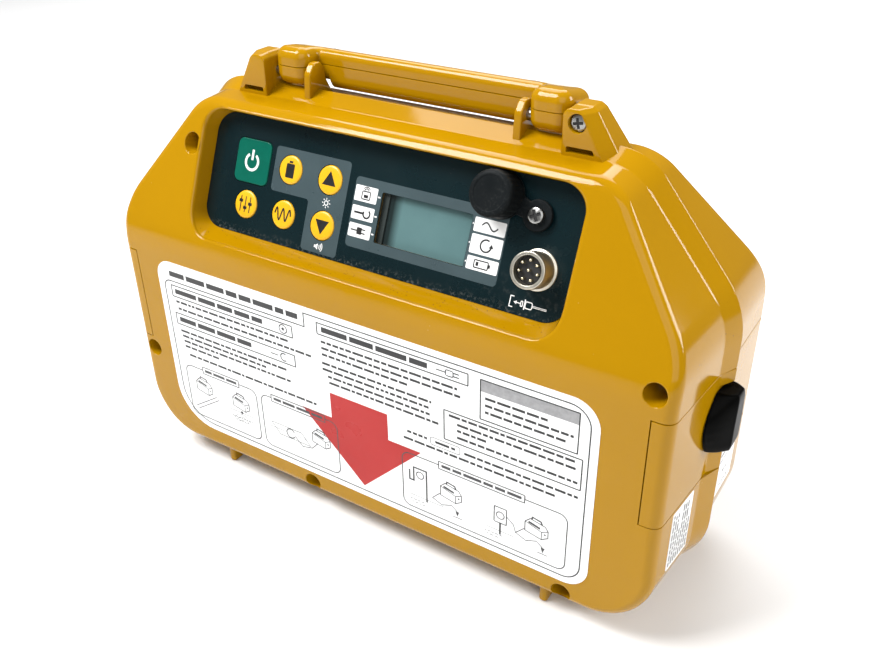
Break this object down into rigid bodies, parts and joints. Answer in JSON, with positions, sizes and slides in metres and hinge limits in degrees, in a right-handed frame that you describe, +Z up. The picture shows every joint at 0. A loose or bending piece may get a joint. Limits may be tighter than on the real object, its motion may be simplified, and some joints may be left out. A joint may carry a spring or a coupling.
{
  "type": "cable locator transmitter",
  "caption": "Portable cable locator transmitter: glossy yellow case with a leaning keypad panel, display, folding carry handle, side battery doors and a capped accessory socket.",
  "frame": {"origin": "on the floor under the middle of the case, at the height the foot rails stand on", "axes": "+X to the right of someone facing the panel, +Y from front to rear, +Z up"},
  "size_m": [0.3064, 0.1006, 0.2134],
  "materials": {
    "case_plastic": "glossy mustard yellow moulding",
    "rubber_black": "matt black rubber",
    "steel": "plain steel",
    "label_white": "white printed film",
    "panel_dark": "blue-black film, semi-gloss",
    "window_glass": "clear window",
    "display_face": "grey-green liquid crystal",
    "board_green": "green solder mask",
    "black_plastic": "black moulding",
    "nickel": "nickel plate, lightly worn",
    "contact_metal": "plated contact",
    "key_yellow": "yellow keytop",
    "key_green": "green keytop",
    "cell_jacket": "plain cell jacket",
    "ferrite": "grey-black ferrite",
    "copper_wire": "enamelled copper wire"
  },
  "bodies": {
    "case": {"front_shell": "case_plastic", "rear_shell": "case_plastic", "case_gasket": "rubber_black", "case_screws": "steel", "front_label": "label_white", "side_label": "label_white", "rear_label": "label_white", "panel_overlay": "panel_dark", "lcd_window": "window_glass", "lcd_module": "display_face", "keypad_board": "board_green", "main_board": "board_green", "buzzer": "black_plastic", "connector_body": "nickel", "connector_insert": "black_plastic", "connector_pins": "contact_metal", "connector_nut": "nickel", "cap_screw": "steel", "handle_pins": "steel", "hinge_pins": "steel", "battery_trays": "black_plastic", "battery_cells": "cell_jacket", "battery_contacts": "contact_metal", "ferrite_rod": "ferrite", "antenna_winding": "copper_wire"},
    "handle": {"handle_upper": "case_plastic", "handle_lower": "case_plastic", "handle_screws": "steel"},
    "right_door": {"right_door": "case_plastic", "right_latch_pin": "steel"},
    "right_latch": {"right_paddle": "black_plastic", "right_hook": "steel"},
    "left_door": {"left_door": "case_plastic", "left_latch_pin": "steel"},
    "left_latch": {"left_paddle": "black_plastic", "left_hook": "steel"},
    "dust_cap": {"dust_cap": "rubber_black"},
    "key_power": {"key_power": "key_green"},
    "key_mode": {"key_mode": "key_yellow"},
    "key_adjust": {"key_adjust": "key_yellow"},
    "key_frequency": {"key_frequency": "key_yellow"},
    "key_up": {"key_up": "key_yellow"},
    "key_down": {"key_down": "key_yellow"}
  },
  "joints": [
    {"name": "handle_fold", "type": "hinge", "parent": "case", "child": "handle", "pos_m": [0, 0, 0.202], "axis": [1, 0, 0], "range_deg": [0, 90]},
    {"name": "right_door_swing", "type": "hinge", "parent": "case", "child": "right_door", "pos_m": [0.133, 0.0477, 0.092], "axis": [0, 0, 1], "range_deg": [0, 100]},
    {"name": "right_latch_lift", "type": "hinge", "parent": "right_door", "child": "right_latch", "pos_m": [0.1482, -0.0042, 0.1065], "axis": [0, -1, 0], "range_deg": [0, 30]},
    {"name": "left_door_swing", "type": "hinge", "parent": "case", "child": "left_door", "pos_m": [-0.133, 0.0477, 0.092], "axis": [0, 0, -1], "range_deg": [0, 100]},
    {"name": "left_latch_lift", "type": "hinge", "parent": "left_door", "child": "left_latch", "pos_m": [-0.1482, -0.0042, 0.1065], "axis": [0, 1, 0], "range_deg": [0, 30]},
    {"name": "cap_swing", "type": "hinge", "parent": "case", "child": "dust_cap", "pos_m": [0.0717, -0.02329, 0.172], "axis": [0, -0.92, 0.3919], "range_deg": [0, 45]},
    {"name": "key_power_press", "type": "slide", "parent": "case", "child": "key_power", "axis": [0, 0.92, -0.3919], "range_m": [0, 0.0008], "stiffness_N_per_m": 300},
    {"name": "key_mode_press", "type": "slide", "parent": "case", "child": "key_mode", "axis": [0, 0.92, -0.3919], "range_m": [0, 0.0008], "stiffness_N_per_m": 300},
    {"name": "key_adjust_press", "type": "slide", "parent": "case", "child": "key_adjust", "axis": [0, 0.92, -0.3919], "range_m": [0, 0.0008], "stiffness_N_per_m": 300},
    {"name": "key_frequency_press", "type": "slide", "parent": "case", "child": "key_frequency", "axis": [0, 0.92, -0.3919], "range_m": [0, 0.0008], "stiffness_N_per_m": 300},
    {"name": "key_up_press", "type": "slide", "parent": "case", "child": "key_up", "axis": [0, 0.92, -0.3919], "range_m": [0, 0.0008], "stiffness_N_per_m": 300},
    {"name": "key_down_press", "type": "slide", "parent": "case", "child": "key_down", "axis": [0, 0.92, -0.3919], "range_m": [0, 0.0008], "stiffness_N_per_m": 300}
  ]
}
